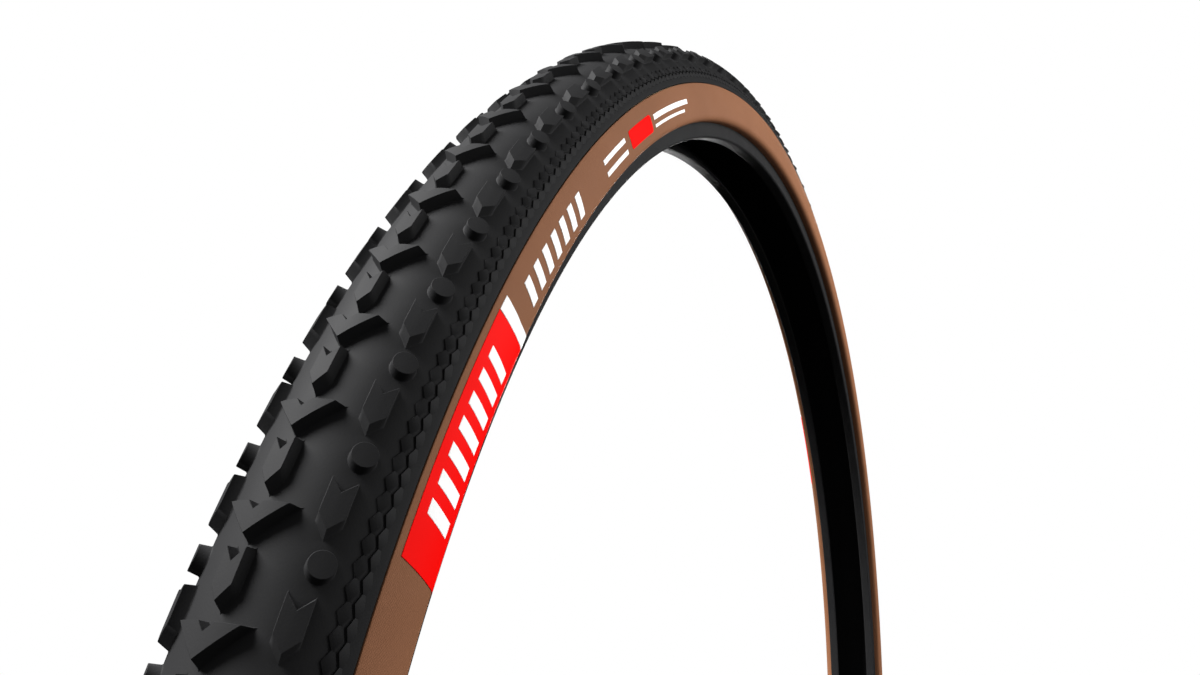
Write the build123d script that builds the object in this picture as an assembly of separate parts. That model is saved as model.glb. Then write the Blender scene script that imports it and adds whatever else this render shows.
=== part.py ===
from build123d import *
import math
import os

# A 38-622 gravel bicycle tire in the shape it has when mounted and inflated. Millimetres.
# The wheel centre is the origin, the wheel axis is Y and +Z is up. Sections are drawn with
# x = distance from the wheel axis and y = distance from the centre plane, then revolved about Y.
# The printed side, called right, faces -Y.

# ---- interface to the rim ----
BEAD_SEAT_RADIUS = 311.0
RIM_HALF_WIDTH = 15.0
FLANGE_RADIUS = 316.6

# ---- outer surface between the knobs: crown arc, side arc, bulge over the rim flange ----
CROWN_CENTRE = 326.0
CROWN_ARC = 17.65
SHOULDER_ANGLE = 62.0
SIDE_ARC = 30.0
BULGE_ARC = 2.1

# ---- carcass under it ----
CARCASS_CENTRE = 324.9
CARCASS_ARC = 17.0
CARCASS_SIDE_ARC = 29.0
CARCASS_BULGE_ARC = 1.6
NECK_RADIUS = 317.1
NECK_FILLET = 0.8
PLY = 0.4
LINER = 0.4
BELT_THICKNESS = 0.5
BELT_HALF_WIDTH = 12.0

# ---- bead ----
CORE_CENTRE = (313.3, 13.0)
CORE_RADIUS = 1.5
LINER_END_RADIUS = 316.0
HEEL_FILLET = 1.0
TOE = (311.4, 9.6)
BASE_INNER_EDGE = 10.3

# ---- tread ----
TREAD_EDGE_RADIUS = 330.1
KNOB_TOP_CENTRE = 326.6
KNOB_TOP_ARC = 19.4
PITCHES = 108
PITCH = 360 / PITCHES
DRAFT_ALLOWANCE = 0.25
KNOB_ROOT = 1.0
KNOB_LENGTH = 4.0
STRIP_HEIGHT = 0.35
STRIP_INNER_RADIUS = 331.7
STRIP_OUTER_RADIUS = 335.8

# Knob outlines: first number along the tread, away from the pointed front; second across it.
CHEVRON_REAR = 5.9
CHEVRON_NOTCH = 1.6
CHEVRON_OUTLINE = [
    (0, 0),
    (CHEVRON_REAR, CHEVRON_REAR),
    (CHEVRON_REAR, CHEVRON_NOTCH),
    (CHEVRON_REAR - CHEVRON_NOTCH, 0),
    (CHEVRON_REAR, -CHEVRON_NOTCH),
    (CHEVRON_REAR, -CHEVRON_REAR),
]
ARROW_LENGTH = 9.0
ARROW_FRONT = 2.6
ARROW_NOTCH = 2.4
CENTRE_ARROW_HALF_WIDTH = 1.95
SHOULDER_ARROW_HALF_WIDTH = 2.2
ROUND_KNOB_RADIUS = 2.35

# Where each knob starts behind the chevron's point, and how far round the section it sits.
CENTRE_ARROW_LAG = 1.48
SHOULDER_ARROW_LAG = 0.5
SHOULDER_ARROW_ANGLE = 37.9
ROUND_KNOB_LAG = 2.92
ROUND_KNOB_ANGLE = 41.8

# ---- printed panels on the sidewall: start angle, end angle, inner radius, outer radius ----
PRINT_THICKNESS = 0.12
PANEL = (139.4, 149.3, 317.6, 328.4)
STRIPE = (138.5, 139.3, 317.6, 328.4)
BADGE = (119.5, 123.1, 320.5, 325.7)
BAR_HEIGHTS = (320.0, 325.7)
BAR_START = 130.4
BAR_WIDTH = 0.55
BAR_SPACING = 1.05
BAR_COUNT = 7


def polar(centre, radius, angle):
    """Point of the section at an angle from the radial direction."""
    turn = math.radians(angle)
    return (centre[0] + radius * math.cos(turn), centre[1] + radius * math.sin(turn))


def arc(centre, radius, start, end):
    """Section arc between two angles."""
    middle = (start + end) / 2
    return ThreePointArc(
        polar(centre, radius, start), polar(centre, radius, middle), polar(centre, radius, end)
    )


def crown_to_bulge(crown_centre, crown_arc, side_arc, bulge_arc, lowest_radius, inset):
    """Tangent arcs from the crown to the lowest point of the bulge, moved in by inset."""
    crown = (crown_centre, 0.0)
    shoulder = polar(crown, crown_arc, SHOULDER_ANGLE)
    side = polar(shoulder, -side_arc, SHOULDER_ANGLE)
    bulge_x = lowest_radius + bulge_arc
    reach = side_arc - bulge_arc
    bulge = (bulge_x, side[1] + math.sqrt(reach**2 - (bulge_x - side[0]) ** 2))
    turn = math.degrees(math.atan2(bulge[1] - side[1], bulge[0] - side[0]))
    return [
        arc(crown, crown_arc - inset, 0, SHOULDER_ANGLE),
        arc(side, side_arc - inset, SHOULDER_ANGLE, turn),
        arc(bulge, bulge_arc - inset, turn, 180),
    ]


def closed_face(edges, corners):
    """Face bounded by the connected edges and then straight lines through the corners."""
    points = [edges[-1] @ 1, *corners, edges[0] @ 0]
    lines = [Line(a, b) for a, b in zip(points, points[1:])]
    return make_face([*edges, *lines])


def under_surface(outset=0.0):
    """Half section from the outer surface, raised by outset, to the centre plane."""
    edges = crown_to_bulge(
        CROWN_CENTRE, CROWN_ARC, SIDE_ARC, BULGE_ARC, FLANGE_RADIUS, -outset
    )
    inside = NECK_RADIUS + NECK_FILLET
    corners = [
        (FLANGE_RADIUS - outset, RIM_HALF_WIDTH),
        (inside, RIM_HALF_WIDTH),
        (inside, 0),
    ]
    return closed_face(edges, corners)


def under_carcass(inset, end_radius):
    """Half section inside the carcass line, moved in by inset, down to end_radius."""
    edges = crown_to_bulge(
        CARCASS_CENTRE, CARCASS_ARC, CARCASS_SIDE_ARC, CARCASS_BULGE_ARC, NECK_RADIUS, inset
    )
    outer_face = CORE_CENTRE[1] + PLY
    neck = (NECK_RADIUS - NECK_FILLET, outer_face + NECK_FILLET)
    bend = arc(neck, NECK_FILLET + inset, 0, -90)
    edges += [Line(edges[-1] @ 1, bend @ 0), bend]
    corners = [(end_radius, outer_face - inset), (end_radius, 0)]
    return closed_face(edges, corners)


def box_face(low_x, high_x, low_y, high_y):
    """Rectangle of the section plane."""
    centre = ((low_x + high_x) / 2, (low_y + high_y) / 2)
    return Pos(*centre) * Rectangle(high_x - low_x, high_y - low_y)


def radial_band(low, high):
    """Part of the half section between two radii."""
    return box_face(low, high, 0, 2 * RIM_HALF_WIDTH)


def both_sides(face):
    """Half section joined with its mirror image."""
    return face + mirror(face, about=Plane.XZ)


def ring(face):
    """Full turn about the wheel axis."""
    return revolve(face, axis=Axis.Y, revolution_arc=360)


def half_ring_wrap(side):
    """Half of a ply's wrap round the bead core: side 1 to the rim, -1 to the air."""
    wrap = Pos(*CORE_CENTRE) * (Circle(CORE_RADIUS + PLY) - Circle(CORE_RADIUS))
    reach = CORE_RADIUS + PLY
    edge = CORE_CENTRE[1] + side * reach
    low, high = sorted((CORE_CENTRE[1], edge))
    return wrap & box_face(CORE_CENTRE[0] - reach, CORE_CENTRE[0] + reach, low, high)


def outer_ply_face():
    core_top = CORE_CENTRE[0] + CORE_RADIUS
    return under_carcass(0, core_top) - under_carcass(PLY, core_top) + half_ring_wrap(1)


def inner_ply_face():
    core_top = CORE_CENTRE[0] + CORE_RADIUS
    return under_carcass(PLY, core_top) - under_carcass(2 * PLY, core_top) + half_ring_wrap(-1)


def liner_face():
    inside = under_carcass(2 * PLY + LINER, LINER_END_RADIUS)
    return under_carcass(2 * PLY, LINER_END_RADIUS) - inside


def belt_face():
    carcass = under_carcass(0, NECK_RADIUS)
    raised = under_carcass(-BELT_THICKNESS, NECK_RADIUS)
    width = box_face(CARCASS_CENTRE, CROWN_CENTRE + CROWN_ARC, 0, BELT_HALF_WIDTH)
    return (raised - carcass) & width


def cover_face():
    """All the rubber between the outer surface and the carcass."""
    return under_surface() - under_carcass(0, NECK_RADIUS - NECK_FILLET)


def cap_face():
    above_edge = radial_band(TREAD_EDGE_RADIUS, CROWN_CENTRE + CROWN_ARC)
    return (cover_face() & above_edge) - belt_face()


def sidewall_face():
    return cover_face() & radial_band(FLANGE_RADIUS, TREAD_EDGE_RADIUS)


def core_face():
    return Pos(*CORE_CENTRE) * Circle(CORE_RADIUS)


def chafer_face():
    """Hard rubber foot of the bead, round the core and the ends of the plies."""
    inner_face = CORE_CENTRE[1] - PLY - LINER
    inside_plies = CORE_CENTRE[1] + PLY / 2
    foot = make_face(
        Polyline(
            (NECK_RADIUS, RIM_HALF_WIDTH),
            (BEAD_SEAT_RADIUS + HEEL_FILLET, RIM_HALF_WIDTH),
            (BEAD_SEAT_RADIUS, RIM_HALF_WIDTH - HEEL_FILLET),
            (BEAD_SEAT_RADIUS, BASE_INNER_EDGE),
            TOE,
            (LINER_END_RADIUS, inner_face),
            (LINER_END_RADIUS, inside_plies),
            (NECK_RADIUS, inside_plies),
            close=True,
        )
    )
    return foot - outer_ply_face() - inner_ply_face() - core_face()


def strip_face():
    """Raised band along the tread edge."""
    raised = under_surface(STRIP_HEIGHT) - under_surface()
    return raised & radial_band(STRIP_INNER_RADIUS, STRIP_OUTER_RADIUS)


def knob_layer():
    """Sector of the layer between the outer surface and the knob tops."""
    tops = Pos(KNOB_TOP_CENTRE, 0) * Circle(KNOB_TOP_ARC)
    layer = tops & radial_band(KNOB_TOP_CENTRE, KNOB_TOP_CENTRE + KNOB_TOP_ARC)
    face = both_sides(layer - under_surface())
    return Rot(0, -PITCH, 0) * revolve(face, axis=Axis.Y, revolution_arc=2 * PITCH)


def arrow_outline(half_width):
    """Pointed at the front, swallow-tailed at the rear."""
    return [
        (0, 0),
        (ARROW_FRONT, half_width),
        (ARROW_LENGTH, half_width),
        (ARROW_LENGTH - ARROW_NOTCH, 0),
        (ARROW_LENGTH, -half_width),
        (ARROW_FRONT, -half_width),
    ]


def knob(sketch, section_angle, layer):
    """Knob standing on the outer surface, square to it, with the given plan."""
    origin = polar((CROWN_CENTRE, 0.0), CROWN_ARC - KNOB_ROOT, section_angle)
    outward = polar((0.0, 0.0), 1.0, section_angle)
    plane = Plane(origin=(*origin, 0), x_dir=(0, 0, -1), z_dir=(*outward, 0))
    return extrude(plane * sketch, amount=KNOB_LENGTH) & layer


def polygon_sketch(points):
    face = make_face(Polyline(*points, close=True))
    return offset(face, amount=DRAFT_ALLOWANCE, kind=Kind.INTERSECTION)


def around(solid, lag):
    """One copy per tread pitch, each turned back by lag degrees."""
    return Compound([Rot(0, lag + PITCH * count, 0) * solid for count in range(PITCHES)])


def print_face(low, high):
    film = under_surface(PRINT_THICKNESS) - under_surface()
    return mirror(film & radial_band(low, high), about=Plane.XZ)


def printed(start, end, low, high):
    """Thin printed patch on the right sidewall between two wheel angles and two radii."""
    patch = revolve(print_face(low, high), axis=Axis.Y, revolution_arc=end - start)
    return Rot(0, -end, 0) * patch


def bars():
    """Row of plain equal bars."""
    row = []
    for count in range(BAR_COUNT):
        start = BAR_START + count * BAR_SPACING
        row.append(printed(start, start + BAR_WIDTH, *BAR_HEIGHTS))
    return Compound(row)


def write(name, shape):
    shape.label = name
    export_step(shape, os.path.join("parts", name + ".step"))
    print(name, len(shape.solids()), "solids")


def write_rings(name, face):
    """Ring on each side of the centre plane."""
    write(name + "_left", ring(face))
    write(name + "_right", ring(mirror(face, about=Plane.XZ)))


def write_knobs(name, solid, lag):
    """Row of knobs on each side of the centre plane, pointing the same way round."""
    write(name + "_left", around(solid, lag))
    write(name + "_right", around(mirror(solid, about=Plane.XZ), lag))


def write_prints(name, patch):
    """Print on each sidewall, the same as seen from either side."""
    write(name + "_right", patch)
    write(name + "_left", Rot(0, 0, 180) * patch)


def main():
    os.makedirs("parts", exist_ok=True)

    write("tread_cap", ring(both_sides(cap_face())))
    write("puncture_belt", ring(both_sides(belt_face())))
    write("casing_ply_outer", ring(both_sides(outer_ply_face())))
    write("casing_ply_inner", ring(both_sides(inner_ply_face())))
    write("inner_liner", ring(both_sides(liner_face())))
    write_rings("sidewall_skin", sidewall_face())
    write_rings("bead_core", core_face())
    write_rings("chafer", chafer_face())
    write_rings("shoulder_strip", strip_face())

    layer = knob_layer()
    chevron = knob(polygon_sketch(CHEVRON_OUTLINE), 0, layer)
    centre_arrow = knob(polygon_sketch(arrow_outline(CENTRE_ARROW_HALF_WIDTH)), 0, layer)
    write("chevron_knobs", around(chevron, 0))
    write("centre_arrow_knobs", around(centre_arrow, CENTRE_ARROW_LAG))

    shoulder_arrow = polygon_sketch(arrow_outline(SHOULDER_ARROW_HALF_WIDTH))
    write_knobs(
        "shoulder_arrow_knobs", knob(shoulder_arrow, SHOULDER_ARROW_ANGLE, layer), SHOULDER_ARROW_LAG
    )
    round_knob = knob(Circle(ROUND_KNOB_RADIUS), ROUND_KNOB_ANGLE, layer)
    write_knobs("shoulder_round_knobs", round_knob, ROUND_KNOB_LAG)

    write_prints("print_panel", printed(*PANEL))
    write_prints("print_stripe", printed(*STRIPE))
    write_prints("print_badge", printed(*BADGE))
    write_prints("print_bars", bars())


main()
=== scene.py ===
import math

import bpy
import numpy as np
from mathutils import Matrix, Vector
from mathutils.geometry import delaunay_2d_cdt


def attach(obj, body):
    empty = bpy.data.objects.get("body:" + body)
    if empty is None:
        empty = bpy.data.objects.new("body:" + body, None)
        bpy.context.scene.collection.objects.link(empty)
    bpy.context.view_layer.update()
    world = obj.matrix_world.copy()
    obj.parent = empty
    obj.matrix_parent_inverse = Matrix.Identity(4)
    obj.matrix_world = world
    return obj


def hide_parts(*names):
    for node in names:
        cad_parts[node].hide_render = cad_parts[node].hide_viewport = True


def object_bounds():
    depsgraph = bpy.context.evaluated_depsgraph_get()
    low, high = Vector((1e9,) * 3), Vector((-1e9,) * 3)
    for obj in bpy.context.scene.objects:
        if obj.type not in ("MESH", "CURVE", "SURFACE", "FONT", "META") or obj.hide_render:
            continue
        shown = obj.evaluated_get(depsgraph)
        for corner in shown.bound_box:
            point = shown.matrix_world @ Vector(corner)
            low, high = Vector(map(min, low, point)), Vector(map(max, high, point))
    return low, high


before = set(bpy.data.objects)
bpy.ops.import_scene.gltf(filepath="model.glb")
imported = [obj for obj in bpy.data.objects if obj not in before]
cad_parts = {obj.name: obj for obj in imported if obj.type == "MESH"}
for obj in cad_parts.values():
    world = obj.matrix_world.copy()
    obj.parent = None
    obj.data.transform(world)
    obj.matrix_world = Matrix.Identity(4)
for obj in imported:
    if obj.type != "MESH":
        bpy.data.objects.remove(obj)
CAD_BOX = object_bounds()

# Lengths on the tire are in millimetres until a mesh is made. A point of the section has a
# distance from the wheel axis and a distance from the centre plane. On the outer surface a place
# is "along" the tread, "across" it from the crown line, and at a "height" above it.
MM = 0.001
ROOT = "root"
SIDES = (("left", 1), ("right", -1))
SEGMENTS = 540
SHARP_EDGE = math.radians(38)
SECTION_STEP = 0.7
FEWEST_ARC_PARTS = 3
FILLET_POINTS = 6
ACROSS_POINTS = 800
SAME_POINT = 1e-6

# ---- outer surface: crown arc, side arc, bulge over the rim flange ----
CROWN_CENTRE = 326.0
CROWN_ARC = 17.65
SHOULDER = math.radians(62)
SIDE_ARC = 30.0
BULGE_ARC = 2.1
FLANGE_RADIUS = 316.6
RIM_HALF_WIDTH = 15.0

# ---- carcass and liner ----
CARCASS_CENTRE = 324.9
CARCASS_ARC = 17.0
CARCASS_SIDE_ARC = 29.0
CARCASS_BULGE_ARC = 1.6
NECK_RADIUS = 317.1
NECK_CENTRE = (316.3, 14.2)
NECK_FILLET = 0.8
LINER_OUTSIDE = 0.8
LINER_INSIDE = 1.2
LINER_END_RADIUS = 316.0

# ---- rubber skins ----
TREAD_EDGE_RADIUS = 330.1
CAP_THICKNESS = 0.9
CAP_ROUNDING = 0.4
CAP_EDGE = [(-0.12, -0.04), (-0.03, -0.14), (0.0, -CAP_ROUNDING), (0.0, -CAP_THICKNESS)]
SKIN_THICKNESS = 0.45
SKIN_ROUNDING = 0.35
SKIN_LIP = [(0.0, -SKIN_THICKNESS), (0.03, -0.14), (0.12, -0.03)]
EDGE_GROOVE = 0.2

# ---- bead foot: corners of the section with their fillets ----
CHAFER_CORNERS = [
    (317.1, 14.2, 0.0),
    (317.1, 15.0, 0.1),
    (311.0, 15.0, 1.0),
    (311.0, 10.3, 0.3),
    (311.4, 9.6, 0.25),
    (316.0, 12.2, 0.15),
    (316.0, 12.6, 0.0),
]
CORE_CENTRE = (313.3, 13.0)
PLY_WRAP_RADIUS = 1.9
PLIES_HALF_WIDTH = 0.4

# ---- knobs ----
KNOB_TOP_CENTRE = 326.6
KNOB_TOP_ARC = 19.4
PITCHES = 108
PITCH = 2 * math.pi / PITCHES
OUTLINE_STEP = 1.1
FRONT_DRAFT = 0.65
REAR_DRAFT = 0.42
SIDE_DRAFT = 0.2
KNOB_SINK = 0.06
FOOT_SPREAD = 0.24
FOOT_RISE = 0.22
FOOT_HOLLOW_SPREAD = FOOT_SPREAD / 3
FOOT_HOLLOW_RISE = FOOT_RISE / 4
DRAFT_LEFT_AT_FOOT = 0.85
EDGE_BEVEL = 0.08

CHEVRON = [(0, 0), (5.9, 5.95), (5.9, 1.6), (4.3, 0), (5.9, -1.6), (5.9, -5.95)]
CHEVRON_DRAFTS = [FRONT_DRAFT, REAR_DRAFT, SIDE_DRAFT, SIDE_DRAFT, REAR_DRAFT, FRONT_DRAFT]
ARROW_DRAFTS = [FRONT_DRAFT, SIDE_DRAFT, SIDE_DRAFT, SIDE_DRAFT, SIDE_DRAFT, FRONT_DRAFT]
# Arrows: length of the point, half width, length, place of the notch.
CENTRE_ARROW = (2.8, 1.93, 9.0, 6.55)
SHOULDER_ARROW = (2.5, 2.2, 9.1, 6.7)
ROUND_RADIUS = 2.35
ROUND_CORNERS = 26
ROUND_DRAFT = 0.3

# Each knob's lag behind the chevron's point, and its place round the section, in degrees.
CENTRE_ARROW_LAG = 1.48
SHOULDER_ARROW_LAG = 0.5
SHOULDER_ARROW_ANGLE = 37.9
ROUND_LAG = 2.92
ROUND_ANGLE = 41.8

# ---- scales near the tread edge: each row's places across, and how fast it falls away ----
SCALES = 540
SCALE_RADIUS = 333.0
SCALE_HALF = math.pi * SCALE_RADIUS / SCALES
SCALE_CREASE = 0.012
SCALE_HEIGHT = 0.42
SCALE_EDGE = 0.03
GROOVE_LINE = 19.93
CROWNWARD_SCALE = (17.48, 18.54, 19.22, 20.02)
CROWNWARD_FALL = 0.22
SIDEWARD_SCALE = (19.84, 20.66, 21.31, 21.93)
SIDEWARD_FALL = 0.42

# ---- sidewall prints: corners as (degrees round the wheel, distance from the axis) ----
PRINT_HEIGHT = 0.12
PRINT_ROOT = 0.05
PRINT_ROUNDING = 0.05
PRINT_STEP = 0.6
PRINT_RADIUS = 323.0
BADGE_CUT = (0.16, 0.9)
BADGE_CUT_MIDDLE = 0.3
PANEL = [(139.26, 328.4), (149.17, 328.4), (149.52, 317.1), (139.45, 317.1)]
STRIPE = [
    (138.48, 328.3),
    (139.22, 328.3),
    (139.32, 324.0),
    (139.41, 317.1),
    (138.72, 317.9),
    (138.7, 321.5),
]
BADGE = [(119.5, 325.7), (123.1, 325.7), (123.1, 320.5), (119.5, 320.5)]
# Small lines: start angle, end angle, inner distance, outer distance.
SMALL_LINES = [
    (123.8, 127.0, 323.9, 325.2),
    (123.8, 127.0, 320.6, 321.9),
    (112.6, 119.0, 323.4, 325.0),
    (113.4, 119.0, 321.1, 322.0),
]
# Bars: start angle, how many, then inner distance, outer distance and slant in degrees.
BARS_FROM = 130.4
BAR_COUNT = 7
BAR_REACH = (320.0, 325.7, 0.22)
PANEL_BARS_FROM = 140.7
PANEL_BAR_COUNT = 7
PANEL_BAR_REACH = (319.4, 326.2, 0.26)
PANEL_BAR_BASE = 0.06
BAR_WIDTH = 0.55
BAR_SPACING = 1.05

# ---- surfaces: texture scales are per metre, bump depths in metres ----
NOISE_DETAIL = 3.0
ROUGHNESS_SCALE = 90.0
RUBBER_SPECULAR = 0.03
RUBBER_MOTTLE = 45.0
RUBBER_GRAIN = 2600.0
RUBBER_GRAIN_DETAIL = 2.0
CORDED_SPECULAR = 0.04
CORDED_MOTTLE = 30.0
CORDED_GRAIN = 1500.0
CORDED_SHADE = 0.2
BUNDLE_SPECULAR = 0.4
BUNDLE_ROUGHNESS = (0.4, 0.55)
BUNDLE_MOTTLE = 400.0
BUNDLE_SHADE = 0.4
INK_SPECULAR = 0.01
INK_ROUGHNESS = (0.4, 0.52)
INK_MOTTLE = 120.0
INK_GRAIN = 900.0
INK_GRAIN_DEPTH = 0.00001

# ---- studio, in metres and watts ----
AMBIENT_BELOW = 0.03
AMBIENT_ABOVE = 0.45
AMBIENT_RISE = (-0.1, 0.7)
AMBIENT_FROM = (-0.5, 0.0, 0.86)
LIGHT_AIM = Vector((-0.1, 0.0, 0.2))
# Lights: name, place, diameter, power.
LIGHTS = [
    ("key", (-0.62, 0.75, 1.28), 0.9, 112),
    ("fill", (0.2, -0.62, 0.42), 0.6, 9.5),
    ("back", (1.3, 0.45, 0.6), 0.9, 30),
]
FLOOR_REACH = 12.0
FLOOR_COLOUR = (0.8, 0.8, 0.8, 1)
FLOOR_ROUGHNESS = 0.9
FLOOR_FADE_FROM = 0.3
FLOOR_FADE_TO = 0.9
CAMERA_PLACE = (-0.42352, -0.11349, 0.18646)
CAMERA_TURN = math.radians(22.78)
CAMERA_RISE = math.radians(6.36)
CAMERA_LENS = 29.49
CAMERA_CLIP = 0.02
SENSOR_WIDTH = 36.0


# ---------------------------------------------------------------- section


def tangent_arcs(crown_centre, crown_arc, side_arc, bulge_arc, lowest, inset):
    """Arcs (centre, radius, start, end) from the crown line to the lowest point of the bulge."""
    shoulder = np.array([math.cos(SHOULDER), math.sin(SHOULDER)])
    crown = np.array([crown_centre, 0.0])
    side = crown + (crown_arc - side_arc) * shoulder
    bulge_x = lowest + bulge_arc
    reach = side_arc - bulge_arc
    bulge = np.array([bulge_x, side[1] + math.sqrt(reach**2 - (bulge_x - side[0]) ** 2)])
    turn = math.atan2(bulge[1] - side[1], bulge[0] - side[0])
    return [
        (crown, crown_arc - inset, 0.0, SHOULDER),
        (side, side_arc - inset, SHOULDER, turn),
        (bulge, bulge_arc - inset, turn, math.pi),
    ]


def arc_points(centre, radius, start, end):
    """Points along a section arc, both ends included."""
    count = max(FEWEST_ARC_PARTS, math.ceil(abs(end - start) * radius / SECTION_STEP))
    angles = np.linspace(start, end, count + 1)
    x = centre[0] + radius * np.cos(angles)
    y = centre[1] + radius * np.sin(angles)
    return np.column_stack([x, y])


SURFACE = tangent_arcs(CROWN_CENTRE, CROWN_ARC, SIDE_ARC, BULGE_ARC, FLANGE_RADIUS, 0.0)
ARC_LENGTHS = [radius * (end - start) for _, radius, start, end in SURFACE]
SURFACE_LENGTH = sum(ARC_LENGTHS)


def surface_point(across, height):
    """Section points at distances across the outer surface from the crown, at heights above it."""
    across = np.asarray(across, float)
    height = np.broadcast_to(height, across.shape)
    distance = np.abs(across)
    points = np.zeros((*across.shape, 2))
    begin = 0.0
    for (centre, radius, start, _), length in zip(SURFACE, ARC_LENGTHS):
        here = distance >= begin
        angle = start + (distance[here] - begin) / radius
        points[here, 0] = centre[0] + (radius + height[here]) * np.cos(angle)
        points[here, 1] = centre[1] + (radius + height[here]) * np.sin(angle)
        begin += length
    points[..., 1] *= np.where(across < 0, -1.0, 1.0)
    return points


ACROSS_TABLE = np.linspace(0, SURFACE_LENGTH, ACROSS_POINTS)
RADIUS_TABLE = surface_point(ACROSS_TABLE, 0.0)[:, 0]


def across_at(radius):
    """Distance across the outer surface where it is this far from the wheel axis."""
    return np.interp(-np.asarray(radius, float), -RADIUS_TABLE, ACROSS_TABLE)


TREAD_EDGE = float(across_at(TREAD_EDGE_RADIUS))


def rounded_corners(corners):
    """Section outline through (x, y, fillet radius) corners."""
    outline = []
    for index, (x, y, fillet) in enumerate(corners):
        corner = np.array([x, y])
        before = np.array(corners[index - 1][:2]) - corner
        after = np.array(corners[(index + 1) % len(corners)][:2]) - corner
        before /= np.linalg.norm(before)
        after /= np.linalg.norm(after)
        if fillet == 0:
            outline.append(corner)
            continue
        half = math.acos(np.clip(before @ after, -1, 1)) / 2
        middle = (before + after) / np.linalg.norm(before + after)
        centre = corner + middle * fillet / math.sin(half)
        start = corner + before * fillet / math.tan(half)
        end = corner + after * fillet / math.tan(half)
        for share in np.linspace(0, 1, FILLET_POINTS):
            chord = start + (end - start) * share - centre
            outline.append(centre + chord * fillet / np.linalg.norm(chord))
    return np.array(outline)


# ---------------------------------------------------------------- mesh making


def signed_area(outline):
    """Area of an outline, positive where it runs anticlockwise."""
    following = np.roll(outline, -1, axis=0)
    return 0.5 * np.sum(outline[:, 0] * following[:, 1] - outline[:, 1] * following[:, 0])


def signed_volume(vertices, faces):
    """Six times the volume of a closed solid, positive where its faces look outward."""
    total = 0.0
    for face in faces:
        first = vertices[face[0]]
        for second, third in zip(face[1:], face[2:]):
            total += first @ np.cross(vertices[second], vertices[third])
    return total


def outward(vertices, faces):
    """Faces of a closed solid, turned so that they look outward."""
    if signed_volume(vertices, faces) < 0:
        return [face[::-1] for face in faces]
    return faces


def make_piece(name, vertices, faces, material, slot, *nodes):
    """Piece that rides on the tire and stands for the named CAD nodes."""
    mesh = bpy.data.meshes.new(name)
    mesh.from_pydata((vertices * MM).tolist(), [], faces)
    mesh.materials.append(material)
    mesh.shade_smooth()
    mesh.set_sharp_from_angle(angle=SHARP_EDGE)
    piece = bpy.data.objects.new(name, mesh)
    bpy.context.scene.collection.objects.link(piece)
    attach(piece, ROOT)
    if nodes:
        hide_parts(*nodes)


def revolved(section):
    """Closed ring from a closed section outline."""
    turns = np.arange(SEGMENTS) * 2 * math.pi / SEGMENTS
    radius, across = section[:, 0], section[:, 1]
    x = np.outer(np.cos(turns), radius)
    z = np.outer(np.sin(turns), radius)
    vertices = np.stack([x, np.tile(across, (SEGMENTS, 1)), z], axis=-1).reshape(-1, 3)
    count = len(section)
    strip = [(j, (j + 1) % count, count + (j + 1) % count, count + j) for j in range(count)]
    if signed_area(section) < 0:
        strip = [quad[::-1] for quad in strip]
    total = len(vertices)
    faces = []
    for segment in range(SEGMENTS):
        faces += [tuple((segment * count + corner) % total for corner in quad) for quad in strip]
    return vertices, faces


def offset_outline(corners, distances):
    """Outline with each side moved outward by its own distance."""
    corners = np.array(corners, float)
    sense = 1.0 if signed_area(corners) > 0 else -1.0
    following = np.roll(corners, -1, axis=0)
    direction = following - corners
    direction /= np.linalg.norm(direction, axis=1)[:, None]
    normal = sense * np.column_stack([direction[:, 1], -direction[:, 0]])
    moved = corners + normal * np.broadcast_to(distances, len(corners))[:, None]
    result = []
    for index in range(len(corners)):
        sides = np.column_stack([direction[index - 1], -direction[index]])
        step = np.linalg.solve(sides, moved[index] - moved[index - 1])
        result.append(moved[index - 1] + direction[index - 1] * step[0])
    return np.array(result)


def side_counts(corners, step):
    """Number of parts each side of the outline is divided into."""
    corners = np.array(corners, float)
    lengths = np.linalg.norm(np.roll(corners, -1, axis=0) - corners, axis=1)
    return np.maximum(1, np.ceil(lengths / step)).astype(int)


def divided(corners, counts):
    """Outline with each side divided into its number of parts."""
    following = np.roll(corners, -1, axis=0)
    points = []
    for start, end, count in zip(corners, following, counts):
        points += [start + (end - start) * part / count for part in range(count)]
    return np.array(points)


def inner_grid(outline, step):
    """Grid points inside the outline, clear of its sides."""
    low, high = outline.min(axis=0), outline.max(axis=0)
    xs = np.arange(low[0] + step / 2, high[0], step)
    ys = np.arange(low[1] + step / 2, high[1], step)
    following = np.roll(outline, -1, axis=0)
    sides = following - outline
    kept = []
    for x in xs:
        for y in ys:
            crosses = (outline[:, 1] > y) != (following[:, 1] > y)
            rise = np.where(crosses, sides[:, 1], 1.0)
            at = outline[:, 0] + sides[:, 0] * (y - outline[:, 1]) / rise
            if np.count_nonzero(crosses & (at > x)) % 2 == 0:
                continue
            offset = np.array([x, y]) - outline
            share = np.clip(np.sum(offset * sides, axis=1) / np.sum(sides**2, axis=1), 0, 1)
            if np.linalg.norm(offset - share[:, None] * sides, axis=1).min() > step / 2:
                kept.append((x, y))
    return np.array(kept).reshape(-1, 2)


def filled(outline, step):
    """Points inside an outline and the triangles over it, numbered with the outline first."""
    inside = inner_grid(outline, step)
    points = [Vector(point) for point in np.vstack([outline, inside])]
    sides = [(index, (index + 1) % len(outline)) for index in range(len(outline))]
    triangles = delaunay_2d_cdt(points, sides, [], 1, SAME_POINT)[2]
    return inside, [tuple(triangle) for triangle in triangles]


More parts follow.
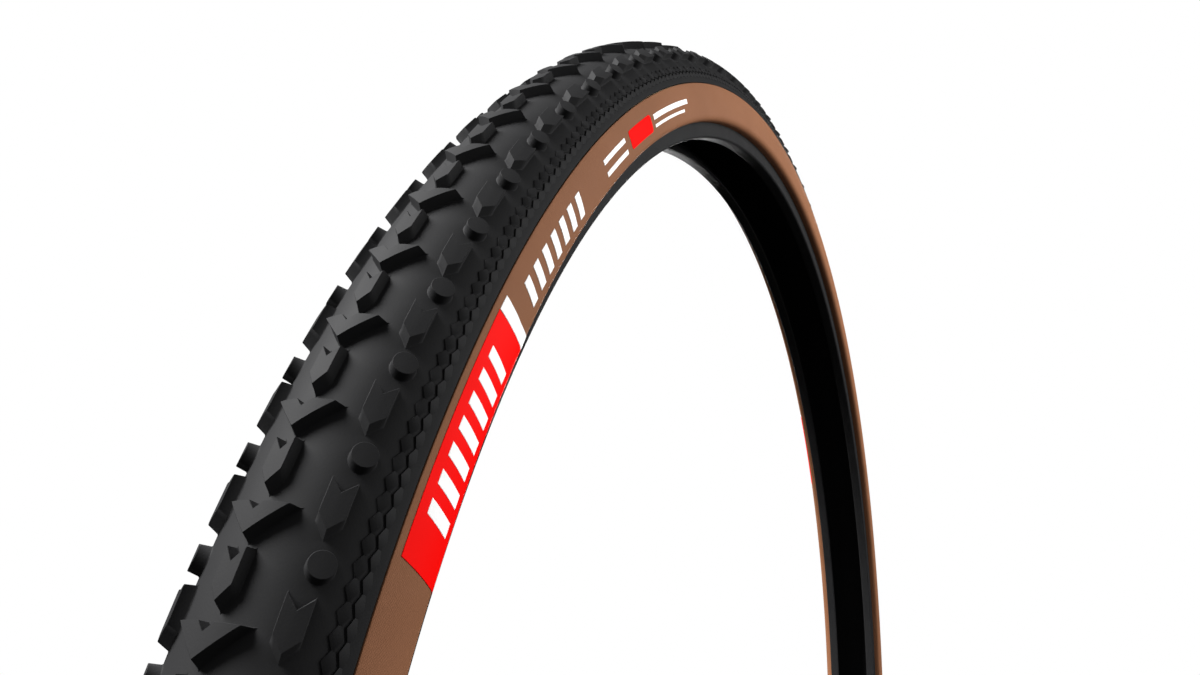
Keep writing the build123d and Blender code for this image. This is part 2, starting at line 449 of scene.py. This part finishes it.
def ringed_solid(rings, heights, step):
    """Closed solid through outlines of equal length, bottom first, as places and heights."""
    count = len(rings[0])
    places = list(rings)
    levels = [np.full(count, height) for height in heights]
    faces = []
    for level in range(len(rings) - 1):
        low, high = level * count, (level + 1) * count
        for index in range(count):
            after = (index + 1) % count
            faces.append((low + index, low + after, high + after, high + index))
    total = count * len(rings)
    ends = ((0, -1), (len(rings) - 1, 1))
    for level, way in ends:
        inside, triangles = filled(rings[level], step)
        rim = range(level * count, (level + 1) * count)
        numbers = [*rim, *range(total, total + len(inside))]
        faces += [tuple(numbers[corner] for corner in triangle)[::way] for triangle in triangles]
        places.append(inside)
        levels.append(np.full(len(inside), heights[level]))
        total += len(inside)
    # The ends' triangles always run anticlockwise; the walls' quads run as the outline does.
    if signed_area(rings[0]) < 0:
        faces = [face[::-1] if len(face) == 4 else face for face in faces]
    return np.vstack(places), np.concatenate(levels), faces


def wrapped(turn, across, height):
    """Points on the tire at angles round the wheel and places on its outer surface."""
    radius, y = surface_point(across, height).T
    return np.column_stack([radius * np.cos(turn), y, radius * np.sin(turn)])


def joined(shapes):
    """Several solids as one list of vertices and one of faces."""
    faces = []
    start = 0
    for vertices, solid in shapes:
        faces += [tuple(corner + start for corner in face) for face in solid]
        start += len(vertices)
    return np.vstack([vertices for vertices, _ in shapes]), faces


def copied(vertices, faces, turns):
    """The same solid at each of the turns about the wheel axis."""
    copies = []
    for turn in turns:
        cosine, sine = math.cos(turn), math.sin(turn)
        x = vertices[:, 0] * cosine - vertices[:, 2] * sine
        z = vertices[:, 0] * sine + vertices[:, 2] * cosine
        copies.append((np.column_stack([x, vertices[:, 1], z]), faces))
    return joined(copies)


# ---------------------------------------------------------------- materials


def connect(tree, value, socket):
    """Links a socket, or sets a plain value."""
    if isinstance(value, bpy.types.NodeSocket):
        tree.links.new(value, socket)
    else:
        socket.default_value = value


def math_node(tree, operation, first, second=0.0):
    node = tree.nodes.new("ShaderNodeMath")
    node.operation = operation
    connect(tree, first, node.inputs[0])
    connect(tree, second, node.inputs[1])
    return node.outputs[0]


def noise(tree, scale, detail=NOISE_DETAIL):
    node = tree.nodes.new("ShaderNodeTexNoise")
    node.inputs["Scale"].default_value = scale
    node.inputs["Detail"].default_value = detail
    place = tree.nodes.new("ShaderNodeTexCoord")
    tree.links.new(place.outputs["Object"], node.inputs["Vector"])
    return node.outputs["Fac"]


def wheel_places(tree):
    """Angle round the wheel, distance from its axis and distance along it, in metres."""
    place = tree.nodes.new("ShaderNodeTexCoord")
    split = tree.nodes.new("ShaderNodeSeparateXYZ")
    tree.links.new(place.outputs["Object"], split.inputs["Vector"])
    x, y, z = split.outputs
    turn = math_node(tree, "ARCTAN2", z, x)
    x_squared = math_node(tree, "MULTIPLY", x, x)
    z_squared = math_node(tree, "MULTIPLY", z, z)
    squares = math_node(tree, "ADD", x_squared, z_squared)
    return turn, math_node(tree, "SQRT", squares), y


def threads(tree, count, lean, along_axis):
    """Waves from -1 to 1: count round the wheel, leaning with radius and along the axis."""
    turn, radius, axial = wheel_places(tree)
    leaning = math_node(tree, "MULTIPLY", radius, lean)
    leaning = math_node(tree, "ADD", leaning, math_node(tree, "MULTIPLY", axial, along_axis))
    phase = math_node(tree, "ADD", math_node(tree, "MULTIPLY", turn, float(count)), leaning)
    return math_node(tree, "SINE", phase)


def blend_colours(tree, factor, dark, light):
    node = tree.nodes.new("ShaderNodeMix")
    node.data_type = "RGBA"
    connect(tree, factor, node.inputs["Factor"])
    colours = [socket for socket in node.inputs if socket.type == "RGBA"]
    colours[0].default_value = (*dark, 1)
    colours[1].default_value = (*light, 1)
    return [socket for socket in node.outputs if socket.type == "RGBA"][0]


def add_bump(tree, shader, height, distance):
    node = tree.nodes.new("ShaderNodeBump")
    node.inputs["Distance"].default_value = distance
    tree.links.new(height, node.inputs["Height"])
    tree.links.new(node.outputs["Normal"], shader.inputs["Normal"])


def new_material(name, roughness, specular):
    """Material with a roughness that drifts between two values."""
    material = bpy.data.materials.new(name)
    material.use_nodes = True
    tree = material.node_tree
    shader = tree.nodes["Principled BSDF"]
    shader.inputs["Specular IOR Level"].default_value = specular
    low, high = roughness
    spread = math_node(tree, "MULTIPLY", noise(tree, ROUGHNESS_SCALE), high - low)
    connect(tree, math_node(tree, "ADD", spread, low), shader.inputs["Roughness"])
    return material, tree, shader


def rubber(name, dark, light, roughness, grain):
    """Matt moulded rubber with a soft mottle and a fine grain."""
    material, tree, shader = new_material(name, roughness, RUBBER_SPECULAR)
    colour = blend_colours(tree, noise(tree, RUBBER_MOTTLE), dark, light)
    tree.links.new(colour, shader.inputs["Base Color"])
    add_bump(tree, shader, noise(tree, RUBBER_GRAIN, RUBBER_GRAIN_DETAIL), grain)
    return material


def corded(name, dark, light, count, lean, along_axis, depth, roughness):
    """Rubber or resin over two sets of threads that cross."""
    material, tree, shader = new_material(name, roughness, CORDED_SPECULAR)
    one = threads(tree, count, lean, along_axis)
    other = threads(tree, count, -lean, -along_axis)
    weave = math_node(tree, "MULTIPLY", one, other)
    woven = math_node(tree, "MULTIPLY", weave, CORDED_SHADE)
    shade = math_node(tree, "ADD", woven, noise(tree, CORDED_MOTTLE))
    tree.links.new(blend_colours(tree, shade, dark, light), shader.inputs["Base Color"])
    height = math_node(tree, "ADD", weave, noise(tree, CORDED_GRAIN))
    add_bump(tree, shader, height, depth)
    return material


def bundled(name, dark, light, count, lean, depth):
    """Twisted strands round a ring."""
    material, tree, shader = new_material(name, BUNDLE_ROUGHNESS, BUNDLE_SPECULAR)
    strand = threads(tree, count, lean, lean)
    twisted = math_node(tree, "MULTIPLY", strand, BUNDLE_SHADE)
    shade = math_node(tree, "ADD", twisted, noise(tree, BUNDLE_MOTTLE))
    tree.links.new(blend_colours(tree, shade, dark, light), shader.inputs["Base Color"])
    add_bump(tree, shader, strand, depth)
    return material


def printed_ink(name, dark, light):
    """Thin matt film, very slightly uneven."""
    material, tree, shader = new_material(name, INK_ROUGHNESS, INK_SPECULAR)
    colour = blend_colours(tree, noise(tree, INK_MOTTLE), dark, light)
    tree.links.new(colour, shader.inputs["Base Color"])
    add_bump(tree, shader, noise(tree, INK_GRAIN), INK_GRAIN_DEPTH)
    return material


TREAD = rubber(
    "tread_rubber",
    dark=(0.01, 0.01, 0.0104),
    light=(0.0136, 0.0136, 0.014),
    roughness=(0.55, 0.68),
    grain=0.00002,
)
LINER = rubber(
    "liner_rubber",
    dark=(0.011, 0.011, 0.012),
    light=(0.017, 0.017, 0.017),
    roughness=(0.35, 0.5),
    grain=0.00001,
)
TAN = corded(
    "tan_sidewall",
    dark=(0.175, 0.076, 0.038),
    light=(0.222, 0.098, 0.05),
    count=5200,
    lean=9000.0,
    along_axis=0.0,
    depth=0.00002,
    roughness=(0.55, 0.7),
)
CHAFER = corded(
    "chafer_rubber",
    dark=(0.01, 0.01, 0.0105),
    light=(0.016, 0.016, 0.0165),
    count=3200,
    lean=9000.0,
    along_axis=9000.0,
    depth=0.00004,
    roughness=(0.5, 0.65),
)
CASING = corded(
    "casing_fabric",
    dark=(0.3, 0.22, 0.13),
    light=(0.5, 0.4, 0.26),
    count=5200,
    lean=9000.0,
    along_axis=4000.0,
    depth=0.00005,
    roughness=(0.6, 0.8),
)
BELT = corded(
    "belt_fabric",
    dark=(0.4, 0.34, 0.12),
    light=(0.66, 0.58, 0.3),
    count=4200,
    lean=0.0,
    along_axis=9000.0,
    depth=0.00006,
    roughness=(0.6, 0.8),
)
FIBRE = bundled(
    "bead_fibre",
    dark=(0.5, 0.4, 0.12),
    light=(0.78, 0.66, 0.28),
    count=900,
    lean=2500.0,
    depth=0.0001,
)
RED = printed_ink("red_print", dark=(0.79, 0.0022, 0.0015), light=(0.86, 0.0035, 0.0025))
WHITE = printed_ink("white_print", dark=(0.85, 0.85, 0.84), light=(0.93, 0.93, 0.92))


def finish_hidden_layers():
    """Gives the CAD layers that stay their own materials."""
    finishes = {
        "casing_ply_outer": CASING,
        "casing_ply_inner": CASING,
        "puncture_belt": BELT,
        "bead_core_left": FIBRE,
        "bead_core_right": FIBRE,
    }
    for node, material in finishes.items():
        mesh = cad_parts[node].data
        mesh.materials.clear()
        mesh.materials.append(material)


# ---------------------------------------------------------------- rings


def both_halves(points):
    """Half section from the crown line outward, joined with its mirror image."""
    return np.vstack([points[::-1], points[1:] * (1, -1)])


def tread_cap():
    """Tread rubber with a rounded edge that drops into the groove beside the sidewall."""
    count = math.ceil(TREAD_EDGE / SECTION_STEP)
    smooth = np.linspace(0, TREAD_EDGE - CAP_ROUNDING, count)
    across = np.array([*smooth, *(TREAD_EDGE + offset for offset, _ in CAP_EDGE)])
    height = np.array([*np.zeros(count), *(drop for _, drop in CAP_EDGE)])
    outer = surface_point(across, height)
    inner = surface_point(smooth, -CAP_THICKNESS)
    section = np.vstack([both_halves(outer), both_halves(inner)[::-1]])
    make_piece("tread_cap_rubber", *revolved(section), TREAD, "tread_rubber", "tread_cap")


def sidewall_skin(side, sign):
    """Tan skin from the tread's edge groove down over the rim flange."""
    start = TREAD_EDGE + EDGE_GROOVE
    count = math.ceil((SURFACE_LENGTH - start) / SECTION_STEP)
    smooth = np.linspace(start + SKIN_ROUNDING, SURFACE_LENGTH, count)
    across = np.array([*(start + offset for offset, _ in SKIN_LIP), *smooth])
    height = np.array([*(drop for _, drop in SKIN_LIP), *np.zeros(count)])
    outer = surface_point(across, height)
    foot = [(FLANGE_RADIUS, RIM_HALF_WIDTH), (FLANGE_RADIUS + SKIN_THICKNESS, RIM_HALF_WIDTH)]
    inner = surface_point(smooth[::-1], -SKIN_THICKNESS)
    section = np.vstack([outer, foot, inner]) * (1, sign)
    name = "sidewall_skin_" + side
    make_piece("tan_" + name, *revolved(section), TAN, "tan_sidewall", name)


def inside_carcass(inset):
    """Half section line at a distance inside the carcass, from the crown to the bead."""
    arcs = tangent_arcs(
        CARCASS_CENTRE, CARCASS_ARC, CARCASS_SIDE_ARC, CARCASS_BULGE_ARC, NECK_RADIUS, inset
    )
    lines = [arc_points(*arc) for arc in arcs]
    lines.append(arc_points(NECK_CENTRE, NECK_FILLET + inset, 0.0, -math.pi / 2))
    lines.append(np.array([(LINER_END_RADIUS, NECK_CENTRE[1] - NECK_FILLET - inset)]))
    points = np.vstack(lines)
    repeated = np.linalg.norm(np.diff(points, axis=0), axis=1) < SAME_POINT
    return points[np.concatenate([[True], ~repeated])]


def inner_liner():
    outside = both_halves(inside_carcass(LINER_OUTSIDE))
    inside = both_halves(inside_carcass(LINER_INSIDE))
    section = np.vstack([outside, inside[::-1]])
    make_piece("inner_liner_sheet", *revolved(section), LINER, "liner_rubber", "inner_liner")


def chafer(side, sign):
    """Bead foot, open at the top for the plies that wrap round the core."""
    opening = math.asin(PLIES_HALF_WIDTH / PLY_WRAP_RADIUS)
    hollow = arc_points(CORE_CENTRE, PLY_WRAP_RADIUS, -opening, opening - 2 * math.pi)
    neck = arc_points(NECK_CENTRE, NECK_FILLET, -math.pi / 2, 0.0)[:-1]
    section = np.vstack([rounded_corners(CHAFER_CORNERS), hollow, neck]) * (1, sign)
    name = "chafer_" + side
    make_piece(name + "_foot", *revolved(section), CHAFER, "chafer_rubber", name)


# ---------------------------------------------------------------- tread


def knob_height(angle):
    """Height of the knob tops above the outer surface at an angle round the section."""
    shift = KNOB_TOP_CENTRE - CROWN_CENTRE
    reach = np.sqrt(KNOB_TOP_ARC**2 - (shift * np.sin(angle)) ** 2)
    return shift * np.cos(angle) + reach - CROWN_ARC


def knob_row(name, node, corners, drafts, lag, section_angle, sign):
    """One knob to each tread pitch: sunk foot, spread foot, drafted wall, bevelled edge, top."""
    counts = side_counts(corners, OUTLINE_STEP)
    drafts = np.array(drafts)
    spreads = [
        drafts + FOOT_SPREAD,
        drafts + FOOT_HOLLOW_SPREAD,
        drafts * DRAFT_LEFT_AT_FOOT,
        np.zeros(len(drafts)),
        np.full(len(drafts), -EDGE_BEVEL),
    ]
    rings = [divided(offset_outline(corners, spread), counts) for spread in spreads]
    places, ring, faces = ringed_solid(rings, range(len(rings)), OUTLINE_STEP)

    middle = math.radians(section_angle)
    top_radius = KNOB_TOP_CENTRE + KNOB_TOP_ARC * math.cos(middle)
    angle = middle + places[:, 1] / KNOB_TOP_ARC
    top = knob_height(angle)
    ring_heights = [-KNOB_SINK, FOOT_HOLLOW_RISE, FOOT_RISE, top - EDGE_BEVEL, top]
    height = np.choose(ring.astype(int), ring_heights)
    turn = -math.radians(lag) - places[:, 0] / top_radius
    vertices = wrapped(turn, sign * angle * CROWN_ARC, height)
    faces = outward(vertices, faces)
    turns = np.arange(PITCHES) * PITCH
    make_piece(name, *copied(vertices, faces, turns), TREAD, "tread_rubber", node)


def arrow(front, half_width, length, notch):
    """Pointed at the front, swallow-tailed at the rear."""
    return [
        (0, 0),
        (front, half_width),
        (length, half_width),
        (notch, 0),
        (length, -half_width),
        (front, -half_width),
    ]


def round_outline():
    turns = np.arange(ROUND_CORNERS) * 2 * math.pi / ROUND_CORNERS
    return np.column_stack([ROUND_RADIUS * np.cos(turns), ROUND_RADIUS * np.sin(turns)])


def knobs():
    centre_arrow = (arrow(*CENTRE_ARROW), ARROW_DRAFTS, CENTRE_ARROW_LAG, 0.0)
    shoulder_place = (SHOULDER_ARROW_LAG, SHOULDER_ARROW_ANGLE)
    shoulder_arrow = (arrow(*SHOULDER_ARROW), ARROW_DRAFTS, *shoulder_place)
    shoulder_round = (round_outline(), [ROUND_DRAFT] * ROUND_CORNERS, ROUND_LAG, ROUND_ANGLE)
    knob_row("chevron_blocks", "chevron_knobs", CHEVRON, CHEVRON_DRAFTS, 0.0, 0.0, 1)
    knob_row("centre_arrow_blocks", "centre_arrow_knobs", *centre_arrow, 1)
    for side, sign in SIDES:
        arrow_names = ("shoulder_arrow_blocks_" + side, "shoulder_arrow_knobs_" + side)
        round_names = ("shoulder_round_blocks_" + side, "shoulder_round_knobs_" + side)
        knob_row(*arrow_names, *shoulder_arrow, sign)
        knob_row(*round_names, *shoulder_round, sign)


def scale(reach, fall, offset):
    """One moulded hexagonal scale of a row, lower away from the groove between the rows."""
    low, lower, upper, high = reach
    half = SCALE_HALF - SCALE_CREASE
    corners = [(0, low), (half, lower), (half, upper), (0, high), (-half, upper), (-half, lower)]
    spreads = [SCALE_EDGE / 2, 0.0, -SCALE_EDGE]
    heights = [-KNOB_SINK, SCALE_HEIGHT - SCALE_EDGE, SCALE_HEIGHT]
    rings = [offset_outline(corners, spread) for spread in spreads]
    places, height, faces = ringed_solid(rings, heights, 2 * OUTLINE_STEP)
    away = np.clip(np.abs(places[:, 1] - GROOVE_LINE) - SCALE_CREASE, 0, None)
    height = np.where(height > 0, height * (1 - fall * away), height)
    return places[:, 0] / SCALE_RADIUS + offset, places[:, 1], height, faces


def scale_strip(side, sign):
    """Two rows of scales that interlock across the groove."""
    pitch = 2 * math.pi / SCALES
    kinds = ((CROWNWARD_SCALE, CROWNWARD_FALL, 0.0), (SIDEWARD_SCALE, SIDEWARD_FALL, pitch / 2))
    rows = []
    for kind in kinds:
        turn, across, height, solid = scale(*kind)
        shape = wrapped(turn, sign * across, height)
        rows.append(copied(shape, outward(shape, solid), np.arange(SCALES) * pitch))
    name = "shoulder_strip_" + side
    make_piece("scales_" + name, *joined(rows), TREAD, "tread_rubber", name)


# ---------------------------------------------------------------- prints


def film(corners, base=0.0):
    """Thin printed patch, on the skin or with its base on another film."""
    corners = np.array(corners, float)
    flat = np.column_stack([np.radians(corners[:, 0]) * PRINT_RADIUS, across_at(corners[:, 1])])
    counts = side_counts(flat, PRINT_STEP)
    spreads = (0.0, 0.0, -PRINT_ROUNDING)
    rings = [divided(offset_outline(flat, spread), counts) for spread in spreads]
    heights = [base - PRINT_ROOT, base + PRINT_HEIGHT - PRINT_ROUNDING, base + PRINT_HEIGHT]
    places, height, faces = ringed_solid(rings, heights, PRINT_STEP)
    vertices = wrapped(places[:, 0] / PRINT_RADIUS, -places[:, 1], height)
    return vertices, outward(vertices, faces)


def bar_row(first, count, low, high, slant):
    """Plain slanted bars, evenly spaced."""
    row = []
    for index in range(count):
        start = first + index * BAR_SPACING
        end = start + BAR_WIDTH
        row.append([(start, high), (end, high), (end + slant, low), (start + slant, low)])
    return row


def line_row():
    return [[(a, high), (b, high), (b, low), (a, low)] for a, b, low, high in SMALL_LINES]


def rounded_badge():
    """Badge outline with its corners cut twice, so that they read as round."""
    cut_angle, cut_radius = BADGE_CUT
    outline = []
    centre = np.mean(BADGE, axis=0)
    for corner in BADGE:
        inward = np.sign(centre - corner)
        along = (corner[0] + inward[0] * cut_angle, corner[1])
        near = (
            corner[0] + inward[0] * cut_angle * BADGE_CUT_MIDDLE,
            corner[1] + inward[1] * cut_radius * BADGE_CUT_MIDDLE,
        )
        down = (corner[0], corner[1] + inward[1] * cut_radius)
        outline.append((along, near, down))
    ordered = []
    for index, group in enumerate(outline):
        ordered += group if index % 2 else group[::-1]
    return ordered


def print_piece(name, patches, material, slot, *nodes, base=0.0):
    """The same patches on both sidewalls, reading alike from either side."""
    vertices, faces = joined([film(corners, base) for corners in patches])
    for side, turned in (("right", 1), ("left", -1)):
        replaced = [node + side for node in nodes]
        placed = vertices * (turned, turned, 1)
        make_piece(name + "_" + side, placed, faces, material, slot, *replaced)


def prints():
    print_piece("red_panel", [PANEL], RED, "red_print", "print_panel_")
    print_piece("white_stripe", [STRIPE], WHITE, "white_print", "print_stripe_")
    print_piece("red_badge", [rounded_badge()], RED, "red_print", "print_badge_")
    tan_bars = bar_row(BARS_FROM, BAR_COUNT, *BAR_REACH)
    print_piece("white_bars", tan_bars, WHITE, "white_print", "print_bars_")
    panel_bars = bar_row(PANEL_BARS_FROM, PANEL_BAR_COUNT, *PANEL_BAR_REACH)
    print_piece("white_panel_bars", panel_bars, WHITE, "white_print", base=PANEL_BAR_BASE)
    print_piece("white_lines", line_row(), WHITE, "white_print")


# ---------------------------------------------------------------- studio


def studio_world():
    """White to the camera, and a soft light on the object that comes mostly from one side."""
    world = bpy.data.worlds.new("studio")
    bpy.context.scene.world = world
    world.use_nodes = True
    tree = world.node_tree
    seen = tree.nodes.new("ShaderNodeLightPath").outputs["Is Camera Ray"]
    facing = tree.nodes.new("ShaderNodeVectorMath")
    facing.operation = "DOT_PRODUCT"
    facing.inputs[1].default_value = AMBIENT_FROM
    place = tree.nodes.new("ShaderNodeTexCoord")
    tree.links.new(place.outputs["Generated"], facing.inputs[0])
    ambient = tree.nodes.new("ShaderNodeMapRange")
    ambient.inputs["From Min"].default_value = AMBIENT_RISE[0]
    ambient.inputs["From Max"].default_value = AMBIENT_RISE[1]
    ambient.inputs["To Min"].default_value = AMBIENT_BELOW
    ambient.inputs["To Max"].default_value = AMBIENT_ABOVE
    tree.links.new(facing.outputs["Value"], ambient.inputs["Value"])
    strength = math_node(tree, "MAXIMUM", seen, ambient.outputs["Result"])
    background = tree.nodes["Background"]
    background.inputs["Color"].default_value = (1, 1, 1, 1)
    tree.links.new(strength, background.inputs["Strength"])


def area_light(name, place, size, power):
    data = bpy.data.lights.new(name, "AREA")
    data.shape = "DISK"
    data.size = size
    data.energy = power
    light = bpy.data.objects.new(name, data)
    light.location = place
    light.visible_camera = False
    light.rotation_euler = (LIGHT_AIM - Vector(place)).to_track_quat("-Z", "Y").to_euler()
    bpy.context.scene.collection.objects.link(light)


def floor():
    """Pale floor that fades to white away from the tire."""
    low = CAD_BOX[0]
    mesh = bpy.data.meshes.new("floor")
    corners = ((-1, -1), (1, -1), (1, 1), (-1, 1))
    vertices = [(x * FLOOR_REACH, y * FLOOR_REACH, low.z) for x, y in corners]
    mesh.from_pydata(vertices, [], [(0, 1, 2, 3)])
    piece = bpy.data.objects.new("floor", mesh)
    piece.visible_diffuse = False
    piece.visible_glossy = False
    material = bpy.data.materials.new("floor_paint")
    material.use_nodes = True
    tree = material.node_tree
    shader = tree.nodes["Principled BSDF"]
    shader.inputs["Base Color"].default_value = FLOOR_COLOUR
    shader.inputs["Roughness"].default_value = FLOOR_ROUGHNESS
    glow = tree.nodes.new("ShaderNodeEmission")
    place = tree.nodes.new("ShaderNodeTexCoord")
    length = tree.nodes.new("ShaderNodeVectorMath")
    length.operation = "LENGTH"
    tree.links.new(place.outputs["Object"], length.inputs[0])
    fade = tree.nodes.new("ShaderNodeMapRange")
    fade.inputs["From Min"].default_value = FLOOR_FADE_FROM
    fade.inputs["From Max"].default_value = FLOOR_FADE_TO
    tree.links.new(length.outputs["Value"], fade.inputs["Value"])
    mix = tree.nodes.new("ShaderNodeMixShader")
    tree.links.new(fade.outputs["Result"], mix.inputs[0])
    tree.links.new(shader.outputs[0], mix.inputs[1])
    tree.links.new(glow.outputs[0], mix.inputs[2])
    tree.links.new(mix.outputs[0], tree.nodes["Material Output"].inputs["Surface"])
    mesh.materials.append(material)
    bpy.context.scene.collection.objects.link(piece)


def camera():
    data = bpy.data.cameras.new("camera")
    data.lens = CAMERA_LENS
    data.sensor_width = SENSOR_WIDTH
    data.clip_start = CAMERA_CLIP
    piece = bpy.data.objects.new("camera", data)
    piece.location = CAMERA_PLACE
    level = math.cos(CAMERA_RISE)
    forward = Vector(
        (level * math.cos(CAMERA_TURN), level * math.sin(CAMERA_TURN), math.sin(CAMERA_RISE))
    )
    piece.rotation_euler = forward.to_track_quat("-Z", "Y").to_euler()
    bpy.context.scene.collection.objects.link(piece)
    bpy.context.scene.camera = piece


camera()
studio_world()
for light in LIGHTS:
    area_light(*light)
floor()

tread_cap()
inner_liner()
for side_name, side_sign in SIDES:
    sidewall_skin(side_name, side_sign)
    chafer(side_name, side_sign)
    scale_strip(side_name, side_sign)
knobs()
prints()
finish_hidden_layers()

bpy.context.scene.view_settings.view_transform = "Standard"
bpy.context.view_layer.update()
